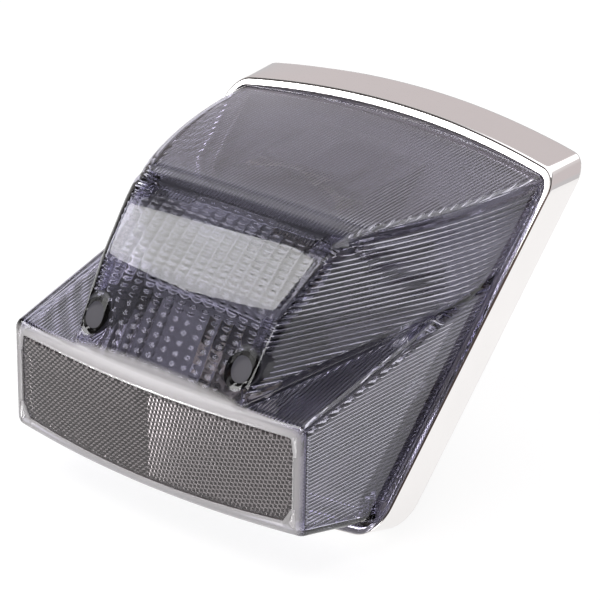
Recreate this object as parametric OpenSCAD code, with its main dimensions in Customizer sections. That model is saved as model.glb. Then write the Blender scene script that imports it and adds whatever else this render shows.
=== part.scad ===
// Motor scooter tail light: smoked one-piece lens with reflex panel, bright rim,
// base tray with two bulbs, and the screws and studs that hold it together.
// X is across the lamp, Y runs forwards to rear (the moulding draw), Z is up.
// The origin is the centre of the seat on the bodywork, which leans by rake from upright.

/* [Rim outline, seen along the draw] */
// Width across the rim
rim_w = 125.4; // [112:0.2:150]
// Height of the rim's top above the origin, at its middle
rim_top = 47.8; // [42:0.2:58]
// Depth of the rim's bottom below the origin, at its middle
rim_bottom = 48; // [44:0.2:58]
// Outward flare of the skirt all round, from its bead to the seat
rim_flare = 0.4; // [0:0.1:1]
// Further flare of the skirt to the sides
side_flare = 0.8; // [0:0.1:2]
// Further flare of the skirt downwards along its bottom
bottom_flare = 2.4; // [0:0.1:4]
// Radius of the arched top edge
top_arch_r = 390; // [250:5:800]
// Radius of the arched bottom edge
bottom_arch_r = 640; // [400:10:1200]
// Outer radius of the two top corners
top_corner_r = 6.5; // [5:0.5:10]
// Outer radius of the two bottom corners
bottom_corner_r = 8; // [6:0.5:14]

/* [Stack along the draw, from the seat forwards] */
// Lean of the seat plane from upright, in degrees
rake = 45; // [38:1:50]
// Thickness of the gasket on the bodywork
pad_t = 2; // [1:0.1:3]
// Thickness of the base tray's floor
floor_t = 3.6; // [2.5:0.1:5]
// Height of the tray's edge above its floor
edge_h = 1.5; // [1:0.1:4]
// Thickness of the rim's inner flange
flange_t = 1.6; // [1:0.1:2.5]
// Thickness of the lens gasket
seal_t = 1.8; // [1:0.1:3]
// Thickness of the lens foot
foot_t = 2.6; // [2:0.1:4]
// Depth of the rim's skirt from its front bead to the seat
skirt_d = 14.7; // [13:0.1:20]

/* [Walls and fits] */
// Wall of the lens
lens_wall = 2.2; // [1.6:0.1:3]
// Wall of the rim at its bead
rim_wall = 2; // [1.4:0.1:3]
// Wall of the base tray
tray_wall = 2.6; // [1.8:0.1:3.5]
// Running gap between pieces that slide together
slip = 0.2; // [0.1:0.05:0.5]
// Radius of the lens's rounded edges
edge_r = 4; // [3.2:0.1:6]

/* [Stop window] */
// Lean of the window from upright, in degrees
window_lean = 34; // [25:1:42]
// Half width of the window at its foot
window_half_bottom = 33; // [28:0.5:40]
// Half width of the window at its top
window_half_top = 40; // [34:0.5:46]
// Height of the window's top edge above the origin
window_top_z = 40.4; // [35:0.2:44]
// Distance of the window's top edge in front of the origin
window_top_y = 48; // [42:0.5:56]
// Distance of the window in front of the origin, at the height of the lens screws
window_y = 79.7; // [77:0.1:82]
// Forward bulge of the window at its middle
window_bulge = 1.6; // [0.5:0.1:4]
// Crown of the roof at the window's top edge
roof_crown = 1.3; // [0.5:0.1:3]
// Height of the roof along its two side edges
roof_edge_z = 41.4; // [38:0.2:44]
// Outward bulge of the roof's side edges, seen from above
roof_bulge = 4.4; // [0:0.1:6]
// Radius of the roof's two side edges
ridge_r = 2.6; // [2.4:0.1:4]

/* [Reflex box] */
// Distance of the reflex panel in front of the origin, at its ends
box_y = 86; // [80:0.5:100]
// Half width of the box at its front
box_half = 56.2; // [50:0.1:60]
// Height of the box's top edge
box_top_z = 0; // [-3:0.1:3]
// Height of the box's bottom edge at its ends
box_bottom_z = -36.2; // [-40:0.1:-32]
// Forward bulge of the panel at its middle
box_bulge = 3.8; // [1:0.1:6]
// Arch of the bottom edge at its middle
box_arch = 1.8; // [0:0.1:3]
// Width of the clear border round the panel
border = 4.1; // [3:0.1:6]
// Radius of the panel's corners
panel_r = 2; // [0.5:0.1:3.5]
// Depth of the panel's face below the border
panel_in = 0.3; // [0.1:0.1:0.8]
// Thickness of the step that the panel sits against
step_t = 1; // [0.8:0.1:1.6]
// Width of the step that the panel sits against
step_w = 1.2; // [0.8:0.1:2]
// Thickness of the reflex panel
reflex_t = 2.2; // [1.8:0.1:3]
// Thickness of the plate that closes the back of the panel
backing_t = 1.4; // [1:0.1:2]

/* [Lens screws] */
// Distance of each lens screw from the middle
screw_x = 27.9; // [24:0.1:28]
// Height of the lens screws
screw_z = 7.6; // [6:0.1:12]
// Bore of the screw chimney
chimney_d = 7.4; // [6.6:0.1:8]
// Wall of the screw chimney
chimney_wall = 1.1; // [0.8:0.1:1.5]
// Wall of the black sleeve round the chimney
sleeve_wall = 0.8; // [0.6:0.1:1.5]
// Distance of the chimney's floor in front of the origin
chimney_floor_y = 46.5; // [40:0.5:52]
// Thickness of the chimney's floor
chimney_floor_t = 2; // [1.5:0.1:3]
// Thread diameter of the lens screws
screw_d = 4; // [3:0.5:5]
// Length of the lens screws under the head
screw_len = 22; // [16:1:30]
// Outer diameter of the threaded inserts
insert_d = 5.6; // [5:0.1:7]
// Length of the threaded inserts
insert_len = 8; // [6:0.5:12]
// Height of the lens screws' heads
head_h = 2.6; // [2:0.1:3.2]
// Thickness of the washers under the heads
washer_t = 0.8; // [0.5:0.1:1.2]

/* [Bulbs] */
// Diameter of the bulb glass
globe_d = 18; // [16:0.5:20]
// Length of the bulb glass beyond its cap
globe_len = 19; // [17:0.5:22]
// Wall of the bulb glass
glass_wall = 0.8; // [0.5:0.1:1.2]
// Diameter of the bulb cap
cap_d = 15; // [14:0.5:16]
// Length of the bulb cap
cap_len = 15.5; // [14:0.5:18]
// Length of the cap that stands out of the socket
cap_proud = 3.5; // [3:0.1:4.5]
// Diameter of the filament's coil
filament_d = 0.8; // [0.6:0.1:1.2]

/* [Sockets] */
// Height of the stop bulb's axis
stop_z = 22; // [20:0.5:24]
// Height of the tail bulb's axis
tail_z = -20; // [-24:0.5:-16]
// Distance of the stop socket's mouth in front of the origin
stop_mouth_y = 14; // [13:0.5:18]
// Distance of the tail socket's mouth in front of the origin
tail_mouth_y = 53.4; // [52:0.2:55]
// Wall of the socket shells
socket_wall = 0.6; // [0.5:0.1:1]
// Depth of the socket shells
socket_deep = 18.6; // [18.4:0.1:20]
// Distance of the fixing flange behind the socket's mouth
flange_back = 9.6; // [8.6:0.1:11]
// Thickness of the fixing flange
plate_t = 1; // [0.8:0.1:1.5]
// Margin of the tray's block beyond the rivets, to each side
pad_edge = 3; // [2.6:0.1:4]
// Margin of the tray's block above and below the socket
pad_rim = 1.6; // [1.4:0.1:2.4]
// Walls of the hollow blocks
core_wall = 2; // [1.4:0.1:2.8]
// Gap between a socket's shell and the rivets' heads
rivet_gap = 1.4; // [0.8:0.1:2]
// Diameter of the rivets
rivet_d = 2.4; // [2:0.1:3]
// Thickness of the earth strap
strap_t = 0.6; // [0.4:0.1:1]
// Width of the earth strap
strap_w = 5; // [4:0.5:6]

/* [Terminals] */
// Distance of the terminal row up the seat plane from the origin
blade_v = 8; // [7:0.5:9]
// Spacing of the terminals
blade_step = 10; // [8:0.5:13]
// Width of a terminal blade
blade_w = 6.3; // [4.8:0.1:7]
// Height of a terminal blade
blade_h = 8; // [6:0.5:8]
// Thickness of a terminal blade
blade_t = 0.8; // [0.6:0.1:1]

/* [Silvered bowl] */
// Half width of the bowl's mouth near its top
bowl_half = 35; // [31:0.5:36]
// Half width of the bowl's mouth near its bottom
bowl_half_low = 26; // [22:0.5:27]
// Height of the mouth's top edge
bowl_top_z = 36.4; // [34:0.2:36.6]
// Height of the mouth's bottom edge
bowl_bottom_z = 13.5; // [12.5:0.5:16]
// Radius of the mouth's two top corners
bowl_top_r = 5; // [3:0.5:8]
// Radius of the mouth's two bottom corners
bowl_low_r = 7; // [5:0.5:9]
// Depth over which the bowl opens from the socket to its full size
bowl_deep = 24; // [18:1:28]
// Gap between the window and the bowl's mouth, square to the window
bowl_gap = 9; // [8:0.5:14]
// Wall of the bowl
bowl_wall = 1.6; // [1.2:0.1:2]
// Distance of the bowl's screws from the middle
lug_x = 24; // [22.5:0.5:25]
// Distance of the bowl's lugs in front of the origin
lug_y = 17; // [15.5:0.5:18]
// Diameter of the bowl's screws
lug_screw_d = 2.5; // [2:0.1:3]

/* [Mounting studs] */
// Distance of each stud from the middle
stud_x = 38; // [30:0.5:42]
// Distance of the studs down the seat plane from the origin
stud_down = 14; // [8:0.5:20]
// Thread diameter of the studs
stud_d = 5; // [4:1:6]
// Length of each stud beyond the seat
stud_len = 16; // [12:1:25]
// Distance of the cable inlet down the seat plane from the origin
inlet_down = 9; // [8:0.5:12]
// Bore of the cable grommet
inlet_d = 6.4; // [5:0.2:7.2]
// Height of the tray's bosses that hold the studs
boss_h = 3.6; // [3:0.1:5]
// Diameter of the collar that a stud bears on the tray with
collar_d = 10; // [8:0.5:12]
// Thickness of the studs' collars, less than the gasket
collar_t = 1.2; // [0.6:0.1:1.4]

/* [Hidden] */
$fn = 64;
eps = 0.01;
far = 200;
hull_fn = 32;
// Distances along the draw, counted from the seat plane forwards
s_floor_back = pad_t;
s_floor = s_floor_back + floor_t;
s_edge = s_floor + edge_h;
s_flange = s_edge + flange_t;
s_seal = s_flange + seal_t;
s_foot = s_seal + foot_t;
// Insets of each piece's outline from the outside of the rim
in_lens = rim_wall + 3 * slip;
in_skin = in_lens + 0.4;
in_foot = in_skin + lens_wall + 1.2;
in_tray = rim_wall + 2 * slip;
in_flange = in_foot + 0.6;
chimney_od = chimney_d + 2 * chimney_wall;
sleeve_id = chimney_od + 2 * slip;
sleeve_od = sleeve_id + 2 * sleeve_wall;
tower_y = chimney_floor_y - 0.5;
socket_id = cap_d + 3 * slip;
socket_od = socket_id + 2 * socket_wall;
rivet_head_d = rivet_d + 2;
rivet_x = (socket_od + rivet_head_d) / 2 + rivet_gap;
pad_w = 2 * (rivet_x + pad_edge);
pad_h = socket_od + 2 * pad_rim;
panel_back = step_t + slip / 2 + reflex_t;
// Distances behind a socket's mouth
pin_back = 7;
nib_t = 1.4;
button_t = 1.2;
disc_t = 1.8;
cap_back = cap_len - cap_proud;
button_back = cap_back + nib_t + button_t;
disc_front = socket_deep - disc_t;
// Heights at which the outer shape of the lens changes, and the place where shelf and side wall part
shelf_rise = 19;
bend_z = 22;
notch_z = 13;
notch_y = 15;
// Washers and nuts on the studs
stud_washer_t = 1;
stud_nut_h = 0.8 * stud_d;
stud_nut_d = 1.84 * stud_d;
// Heights square to the seat: back of the tray's floor, its front, and the top of the stud bosses
h_back = s_floor_back * cos(rake);
h_floor = s_floor * cos(rake);
h_boss = h_floor + boss_h;

// One corner of the outline: its centre, radius and the angle where it meets the arched edge
function corner_r(d, r) = max(r - d, 1.2);
function corner_x(d, r) = rim_w / 2 - d - corner_r(d, r);
function arch_off(d, r, arch) = sqrt(pow(arch - d - corner_r(d, r), 2) - pow(corner_x(d, r), 2));
function corner_arc(d, r, arch, high, steps = 8) =
    let (x = corner_x(d, r), off = arch_off(d, r, arch), z = high - arch + off, a = atan2(off, x))
    [for (i = [0:steps]) [x + corner_r(d, r) * cos(a * i / steps), z + corner_r(d, r) * sin(a * i / steps)]];
function arch_arc(d, r, arch, high, steps = 14) =
    let (a = atan2(arch_off(d, r, arch), corner_x(d, r)))
    [for (i = [1:steps - 1]) let (b = a + (180 - 2 * a) * i / steps)
        [(arch - d) * cos(b), high - arch + (arch - d) * sin(b)]];
function mirrored(p) = [for (i = [len(p) - 1:-1:0]) [-p[i][0], p[i][1]]];
function flipped(p) = [for (q = p) [-q[0], -q[1]]];
function half_outline(d, r, arch, high) =
    let (c = corner_arc(d, r, arch, high)) concat(c, arch_arc(d, r, arch, high), mirrored(c));

// The rim's outline seen along the draw, moved inwards by d
module outline(d, drop = 0) {
    polygon(concat(half_outline(d, top_corner_r, top_arch_r, rim_top),
        flipped(half_outline(d, bottom_corner_r, bottom_arch_r, rim_bottom + drop))));
}

// Turns a flat shape in X and Z into a bar along the draw
module along_draw(y0, y1) {
    translate([0, y1, 0]) rotate([90, 0, 0]) linear_extrude(y1 - y0) children();
}

// The space between two planes that lie parallel to the seat, s0 and s1 in front of it
module slab(s0, s1) {
    rotate([-rake, 0, 0])
        translate([-far, -s1 * cos(rake), -far]) cube([2 * far, (s1 - s0) * cos(rake), 2 * far]);
}

// A flat shape carried along the draw and cut off parallel to the seat
module skewed(s0, s1) {
    intersection() {
        along_draw(-far, far) children();
        slab(s0, s1);
    }
}

// A place on the seat plane, up by v, with local Y pointing into the bodywork
module on_seat(x, v) {
    rotate([-rake, 0, 0]) translate([x, 0, v]) children();
}

// Everything further forward than the window's skin moved back by depth
module before_window(depth) {
    translate([0, -window_y, screw_z]) rotate([-window_lean, 0, 0])
        translate([-far, depth - far, -far]) cube([2 * far, far, 2 * far]);
}

// A row of balls across the lamp whose middle stands out by dy forwards and dz upwards
module ball_row(half, y, z, r, dy, dz, n) {
    for (i = [0:n]) let (k = 2 * i / n - 1, rise = 1 - k * k)
        translate([k * half, -y - dy * rise, z + dz * rise]) sphere(r, $fn = hull_fn);
}

// The foot outline where the skin ends, kept above or below a height
module foot_slice(t, low, high) {
    skewed(s_seal - (t > 0 ? 1 : 0), s_seal + 0.2) intersection() {
        outline(in_skin + t);
        translate([-far, low]) square([2 * far, high - low]);
    }
}

// The two side edges of the roof, as balls from the window's top back to the foot
module roof_edges(t, n = 5) {
    foot_half = rim_w / 2 - in_skin - ridge_r;
    front_half = window_half_top - edge_r + 0.5;
    front_y = window_top_y - edge_r * 0.6;
    foot_y = s_seal - roof_edge_z;
    for (i = [1:n]) let (k = i / (n + 1))
        ball_row(front_half + k * (foot_half - front_half) + 4 * k * (1 - k) * roof_bulge,
            front_y + k * (foot_y - front_y), roof_edge_z - ridge_r, ridge_r - t, 0, 0, 1);
}

// A row of balls behind the window's skin at a height z
module window_row(half, z, r, t) {
    skin = window_y * cos(window_lean) + screw_z * sin(window_lean) - r;
    ball_row(half - r + 0.5, (skin - z * sin(window_lean)) / cos(window_lean), z, r - t, window_bulge, 0, 6);
}

// The upper block of the lens skin, moved inwards by t
module upper_block(t) {
    r = edge_r;
    hull() {
        foot_slice(t, notch_z - 6, far);
        ball_row(window_half_top - r + 0.5, window_top_y - r * 0.6, window_top_z - r, r - t,
            window_bulge, roof_crown, 6);
        window_row((window_half_top + window_half_bottom) / 2, bend_z, r, t);
        window_row(window_half_bottom, box_top_z - 4, r, t);
        ball_row(rim_w / 2 - in_skin - r - 0.6, notch_y, notch_z, r - t, 0, 0, 1);
        roof_edges(t);
    }
}

// The reflex box and shelf of the lens skin, moved inwards by t
module lower_block(t) {
    r = edge_r;
    hull() {
        foot_slice(t, -far, shelf_rise);
        ball_row(box_half - r, box_y - r, box_top_z - r, r - t, box_bulge, 0, 8);
        ball_row(box_half - r, box_y - r, box_bottom_z + r, r - t, box_bulge, -box_arch, 8);
    }
}

// Outline of the reflex panel in X and Z, moved outwards by d
module panel_shape(d) {
    half = box_half - border + d;
    top = box_top_z - border + d;
    low = box_bottom_z + border + 0.8 - d;
    drop = box_arch + 0.4;
    arch = (half * half + drop * drop) / (2 * drop);
    r = panel_r + d;
    intersection() {
        union() {
            translate([-half, low - drop]) square([2 * half, top - low + drop - r]);
            translate([r - half, low - drop]) square([2 * (half - r), top - low + drop]);
            for (side = [-1, 1]) translate([side * (half - r), top - r]) circle(r);
        }
        translate([0, low - drop + arch]) circle(arch, $fn = 360);
    }
}

// The panel outline, moved outwards by d, as a block through the front of the box
module panel_block(d) {
    along_draw(-box_y - 20, -box_y + 12) panel_shape(d);
}

// A curved sheet that follows the bulge of the box's front, between two depths behind it
module bulged(d0, d1) {
    half = box_half - edge_r;
    r = (half * half + box_bulge * box_bulge) / (2 * box_bulge);
    translate([0, r - box_y - box_bulge, -far / 2]) difference() {
        cylinder(far, r = r - d0, $fn = 720);
        translate([0, 0, -1]) cylinder(far + 2, r = r - d1, $fn = 720);
    }
}

module at_screws() {
    for (side = [-1, 1]) translate([side * screw_x, 0, screw_z]) children();
}

// A round bar along the draw from y0 to y1, both counted forwards of the origin
module bar(y0, y1, d) {
    translate([0, -y0, 0]) rotate([90, 0, 0]) cylinder(y1 - y0, d = d);
}

module lens() {
    color([0.30, 0.30, 0.34, 0.7]) difference() {
        union() {
            difference() {
                union() {
                    upper_block(0);
                    lower_block(0);
                }
                upper_block(lens_wall);
                lower_block(lens_wall);
            }
            skewed(s_seal, s_foot) difference() {
                outline(in_lens);
                outline(in_foot);
            }
            difference() {
                at_screws() bar(chimney_floor_y, window_y + 8, chimney_od);
                before_window(0.8);
            }
        }
        at_screws() {
            bar(chimney_floor_y + chimney_floor_t, window_y + 20, chimney_d);
            bar(chimney_floor_y - 1, window_y, screw_d + 0.4);
        }
        panel_block(0);
        intersection() {
            panel_block(step_w);
            bulged(step_t, 20);
        }
    }
}

module reflex_panel() {
    color([0.55, 0.53, 0.53]) {
        intersection() {
            panel_block(-slip / 2);
            bulged(panel_in, panel_back);
        }
        intersection() {
            panel_block(step_w - slip / 2);
            bulged(step_t + slip / 2, panel_back);
        }
    }
}

module reflex_backing() {
    lip_w = 1.6;
    lip_h = 0.8;
    color([0.62, 0.60, 0.58]) difference() {
        intersection() {
            panel_block(step_w / 2);
            bulged(panel_back + slip / 4, panel_back + backing_t + lip_h);
        }
        intersection() {
            panel_block(step_w / 2 - lip_w);
            bulged(panel_back - 1, panel_back + lip_h);
        }
    }
}

// The rim's outside moved inwards by t: a skirt that widens from its rounded bead back to the seat
module rim_skin(t) {
    bead = 0.9;
    over = t > 0 ? 1 : 0;
    hull() {
        for (side = [-1, 1]) translate([side * side_flare, 0, 0])
            skewed(-over, eps - over) outline(t - rim_flare, bottom_flare);
        skewed(skirt_d - bead - eps, skirt_d - bead) outline(t);
        skewed(skirt_d - eps + over, skirt_d + over) outline(t > 0 ? t : bead * 0.6);
    }
}

module bright_rim() {
    color([0.93, 0.92, 0.90]) difference() {
        rim_skin(0);
        intersection() {
            rim_skin(rim_wall);
            union() {
                slab(-10, s_edge);
                slab(s_flange, far / 2);
            }
        }
        skewed(-10, far / 2) outline(in_flange);
    }
}

module lens_gasket() {
    color([0.07, 0.07, 0.07]) skewed(s_flange, s_seal) difference() {
        outline(rim_wall + slip);
        outline(in_foot + 0.3);
    }
}

module body_gasket() {
    color([0.09, 0.09, 0.09]) difference() {
        skewed(0, pad_t) outline(in_tray);
        at_studs() cylinder(4 * pad_t, d = collar_d + 1, center = true);
        at_inlet() cylinder(8 * pad_t, d = inlet_d + 7 + slip, center = true);
    }
}

// Distance of the top of a socket's block in front of the origin
function pad_top(mouth) = mouth - flange_back;

// The block of the tray under a socket flange, square to the draw, moved inwards by t
module socket_block(z, mouth, t) {
    w = pad_w - 2 * t;
    h = pad_h - 2 * t;
    translate([-w / 2, 1.5 * t - pad_top(mouth), z - h / 2]) cube([w, pad_top(mouth) + 60, h]);
}

module at_studs() {
    for (side = [-1, 1]) on_seat(side * stud_x, -stud_down) rotate([90, 0, 0]) children();
}

module at_inlet() {
    on_seat(0, -inlet_down) rotate([90, 0, 0]) children();
}

module at_lugs() {
    for (side = [-1, 1]) translate([side * lug_x, 0, stop_z]) children();
}

module base_tray() {
    color([0.16, 0.16, 0.17]) difference() {
        union() {
            skewed(s_floor_back, s_edge) difference() {
                outline(in_tray);
                outline(in_tray + tray_wall);
            }
            skewed(s_floor_back, s_floor) outline(in_tray);
            intersection() {
                union() {
                    at_screws() bar(-40, tower_y, sleeve_od);
                    socket_block(stop_z, stop_mouth_y, 0);
                    socket_block(tail_z, tail_mouth_y, 0);
                    at_lugs() bar(-40, lug_y, lug_screw_d + 4.5);
                }
                slab(s_floor_back, far);
            }
            at_studs() cylinder(h_boss, d = stud_nut_d + 4);
        }
        at_screws() {
            bar(tower_y - insert_len, tower_y + 1, insert_d);
            bar(tower_y - insert_len - 14, tower_y, screw_d + 0.6);
        }
        slab(-far, s_floor_back);
        socket_block(stop_z, stop_mouth_y, core_wall);
        socket_block(tail_z, tail_mouth_y, core_wall);
        at_studs() cylinder(40, d = stud_d + slip);
        at_lugs() bar(lug_y - 8, lug_y + 1, lug_screw_d);
        for (p = [[stop_z, stop_mouth_y], [tail_z, tail_mouth_y]]) translate([0, 0, p[0]]) {
            bar(p[1] - socket_deep - 1, p[1], socket_od + 2 * slip);
            for (side = [-1, 1]) translate([side * rivet_x, 0, 0]) bar(pad_top(p[1]) - 5, pad_top(p[1]) + 1, rivet_d);
        }
        at_inlet() cylinder(8 * floor_t, d = inlet_d + 4, center = true);
        at_blades() cylinder(4, d = rivet_d, center = true);
    }
}

// Inside of the bowl: a dish that opens from the socket to a mouth that is widest near its top
module dish(t) {
    back = stop_mouth_y - 1 - t;
    mouth = back + bowl_deep;
    hull() {
        translate([0, 0, stop_z]) bar(back, back + eps, socket_od + 4 + 2 * t);
        for (side = [-1, 1]) {
            translate([side * (bowl_half - bowl_top_r), 0, bowl_top_z - bowl_top_r])
                bar(mouth, mouth + 60, 2 * (bowl_top_r + t));
            translate([side * (bowl_half_low - bowl_low_r), 0, bowl_bottom_z + bowl_low_r])
                bar(mouth, mouth + 60, 2 * (bowl_low_r + t));
        }
    }
}

module silvered_bowl() {
    lug_w = lug_screw_d + 5.5;
    color([0.80, 0.81, 0.83]) difference() {
        union() {
            difference() {
                dish(bowl_wall);
                before_window(lens_wall + bowl_gap);
            }
            translate([-lug_x - lug_w / 2, -lug_y - bowl_wall, stop_z - lug_w / 2])
                cube([2 * lug_x + lug_w, bowl_wall, lug_w]);
        }
        dish(0);
        at_lugs() bar(lug_y - 1, lug_y + 9, lug_screw_d + 0.4);
        translate([0, 0, stop_z]) bar(-20, stop_mouth_y + 10, socket_od + 1);
    }
}

module bowl_screws() {
    color([0.70, 0.71, 0.73]) at_lugs() {
        bar(lug_y - 6, lug_y + bowl_wall, lug_screw_d);
        bar(lug_y + bowl_wall, lug_y + bowl_wall + 2, 2.2 * lug_screw_d);
    }
}

module screw_sleeves() {
    color([0.04, 0.04, 0.04]) intersection() {
        difference() {
            at_screws() bar(tower_y, window_y + 8, sleeve_od);
            at_screws() bar(tower_y - 1, window_y + 12, sleeve_id);
        }
        upper_block(lens_wall + slip / 2);
    }
}

module screw_plugs() {
    color([0.60, 0.60, 0.61]) difference() {
        at_screws() bar(window_y - 9, window_y + 8, chimney_d - slip);
        before_window(0.5);
    }
}

module lens_screws() {
    seat = chimney_floor_y + chimney_floor_t + washer_t;
    color([0.78, 0.78, 0.76]) difference() {
        at_screws() {
            bar(seat - screw_len, seat, screw_d);
            bar(seat, seat + head_h, chimney_d - 0.8);
        }
        at_screws() for (turn = [0, 90]) translate([0, -seat - head_h, 0]) rotate([0, turn, 0])
            cube([4, 2.4, 0.9], center = true);
    }
}

module lens_screw_washers() {
    color([0.72, 0.72, 0.70]) difference() {
        at_screws() bar(chimney_floor_y + chimney_floor_t, chimney_floor_y + chimney_floor_t + washer_t, chimney_d - 0.4);
        at_screws() bar(0, window_y, screw_d + 0.3);
    }
}

module threaded_inserts() {
    color([0.80, 0.62, 0.28]) difference() {
        at_screws() bar(tower_y - insert_len, tower_y, insert_d);
        at_screws() bar(0, window_y, screw_d);
    }
}

// Half profile of the bulb glass, moved inwards by t
module glass_profile(t) {
    neck = 5.2 - t;
    r = globe_d / 2;
    polygon(concat([[0, -4 - t], [neck, -4 - t], [neck, 1]],
        [for (a = [-35:10:85]) [(r - t) * cos(a), globe_len - r + (r - t) * sin(a)]],
        [[0, globe_len - t]]));
}

module at_cap(z, mouth) {
    translate([0, -mouth - cap_proud, z]) rotate([90, 0, 0]) children();
}

module bulb_glass(z, mouth) {
    color([0.92, 0.94, 0.96, 0.5]) at_cap(z, mouth) rotate_extrude() difference() {
        glass_profile(0);
        glass_profile(glass_wall);
        translate([-10, -20]) square([20, 17]);
    }
}

// Two lead wires that hold a short coil across the bulb
module filament(z, mouth) {
    lead = 2.4;
    high = globe_len - globe_d / 2;
    color([0.55, 0.55, 0.57]) at_cap(z, mouth) {
        for (side = [-1, 1]) translate([side * lead, 0, -4]) cylinder(high + 4, d = 0.7);
        translate([0, 0, high]) rotate([0, 90, 0]) cylinder(2 * lead + 0.9, d = filament_d, center = true);
    }
}

module bulb_cap(z, mouth) {
    color([0.82, 0.70, 0.42]) translate([0, 0, z]) difference() {
        union() {
            bar(mouth - cap_back, mouth + cap_proud, cap_d);
            bar(mouth - cap_back - nib_t, mouth - cap_back, 7);
            translate([0, pin_back - mouth, 0]) rotate([0, 90, 0]) cylinder(cap_d + 3.4, d = 2, center = true);
        }
        bar(mouth + cap_proud - 4, mouth + cap_proud + 1, 10.4);
    }
}

module socket_shell(z, mouth) {
    top = pad_top(mouth);
    color([0.84, 0.80, 0.62]) translate([0, 0, z]) difference() {
        union() {
            bar(mouth - socket_deep, mouth, socket_od);
            translate([1 - pad_w / 2, -top - plate_t, -7]) cube([pad_w - 2, plate_t, 14]);
        }
        bar(mouth - socket_deep - 1, mouth + 1, socket_id);
        for (side = [-1, 1]) translate([side * rivet_x, 0, 0]) bar(top - 1, top + 2, rivet_d);
        translate([0, pin_back - mouth, 0]) rotate([0, 90, 0]) cylinder(socket_od + 2, d = 2.4, center = true);
        translate([0, 3 - mouth, 0]) cube([socket_od + 2, 8, 2.4], center = true);
    }
}

module insulator(z, mouth) {
    color([0.45, 0.28, 0.14]) translate([0, 0, z]) difference() {
        bar(mouth - socket_deep, mouth - disc_front, socket_id);
        bar(mouth - socket_deep - 1, mouth, 3);
    }
}

module contact(z, mouth) {
    color([0.84, 0.66, 0.32]) translate([0, 0, z]) {
        bar(mouth - button_back, mouth - button_back + button_t, 6);
        bar(mouth - socket_deep - 0.8, mouth - button_back, 3);
    }
}

// A round wire carried along a helix: rings of points at equal steps of turn
module plunger_spring(z, mouth) {
    wire = 0.5;
    mean = 4.4;
    turns = 3;
    steps = 20;
    sides = 6;
    long = disc_front - button_back - wire;
    rings = turns * steps;
    points = [for (i = [0:rings], j = [0:sides - 1])
        let (a = 360 * i / steps, b = 360 * j / sides, r = mean / 2 + wire / 2 * cos(b))
        [r * cos(a), r * sin(a), wire / 2 + long * i / rings + wire / 2 * sin(b)]];
    walls = [for (i = [0:rings - 1], j = [0:sides - 1]) let (k = (j + 1) % sides)
        [i * sides + j, (i + 1) * sides + j, (i + 1) * sides + k, i * sides + k]];
    ends = [[for (j = [0:sides - 1]) j], [for (j = [sides - 1:-1:0]) rings * sides + j]];
    color([0.75, 0.76, 0.78]) translate([0, -mouth + disc_front, z]) rotate([90, 0, 0])
        polyhedron(points, concat(walls, ends));
}

module socket_rivets() {
    color([0.74, 0.74, 0.75]) for (p = [[stop_z, stop_mouth_y], [tail_z, tail_mouth_y]], side = [-1, 1])
        let (head = pad_top(p[1]) + plate_t + (side < 0 ? strap_t : 0)) translate([side * rivet_x, 0, p[0]]) {
            bar(pad_top(p[1]) - 4.5, head, rivet_d);
            bar(head, head + 1, rivet_head_d);
        }
}

// A bent strip from one socket flange to the other, drawn from the side and made strap_w wide
module earth_strap() {
    y0 = -pad_top(stop_mouth_y) - plate_t;
    y1 = -pad_top(tail_mouth_y) - plate_t;
    z0 = stop_z - pad_h / 2;
    z1 = tail_z + pad_h / 2;
    t = strap_t;
    color([0.80, 0.64, 0.34]) difference() {
        translate([-rivet_x - strap_w / 2, 0, 0]) rotate([90, 0, 90]) linear_extrude(strap_w)
            polygon([[y0, stop_z + 3], [y0, z0], [y1, z1], [y1, tail_z - 3],
                [y1 - t, tail_z - 3], [y1 - t, z1 + t], [y0 - t, z0 + t], [y0 - t, stop_z + 3]]);
        for (z = [stop_z, tail_z]) translate([-rivet_x, 0, z]) bar(-20, far, rivet_d);
    }
}

module at_blades() {
    for (i = [-1:1]) on_seat(i * blade_step, blade_v) rotate([90, 0, 0])
        translate([0, 0, h_floor]) children();
}

module terminal_blades() {
    color([0.80, 0.64, 0.34]) at_blades() difference() {
        translate([-blade_w / 2, -3.5, 0]) {
            cube([blade_w, 7, blade_t]);
            cube([blade_w, blade_t, blade_h]);
        }
        cylinder(4, d = rivet_d, center = true);
    }
}

module blade_rivets() {
    color([0.74, 0.74, 0.75]) at_blades() {
        translate([0, 0, -2]) cylinder(2 + blade_t, d = rivet_d);
        translate([0, 0, blade_t]) cylinder(0.9, d = rivet_d + 1.6);
    }
}

module cable_grommet() {
    neck_d = inlet_d + 4;
    lip = 1.8;
    color([0.06, 0.06, 0.06]) at_inlet() difference() {
        union() {
            cylinder(h_floor + lip, d = neck_d);
            translate([0, 0, h_floor]) cylinder(lip, d = neck_d + 3);
            cylinder(h_back, d = neck_d + 3);
        }
        translate([0, 0, -1]) cylinder(20, d = inlet_d);
    }
}

// A stud bears on the tray's back with its collar, and its washer and nut hold it from the inside
module mounting_studs() {
    shank = h_boss + stud_washer_t + stud_nut_h + 1;
    color([0.74, 0.74, 0.72]) at_studs() {
        translate([0, 0, -stud_len]) cylinder(stud_len + shank, d = stud_d);
        translate([0, 0, h_back - collar_t]) cylinder(collar_t, d = collar_d);
    }
}

module stud_washers() {
    color([0.76, 0.76, 0.74]) at_studs() translate([0, 0, h_boss]) difference() {
        cylinder(stud_washer_t, d = stud_d * 2.2);
        translate([0, 0, -1]) cylinder(5, d = stud_d + 0.4);
    }
}

module stud_nuts() {
    color([0.76, 0.76, 0.74]) at_studs() translate([0, 0, h_boss + stud_washer_t]) difference() {
        cylinder(stud_nut_h, d = stud_nut_d, $fn = 6);
        translate([0, 0, -1]) cylinder(stud_nut_h + 2, d = stud_d);
    }
}

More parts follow.
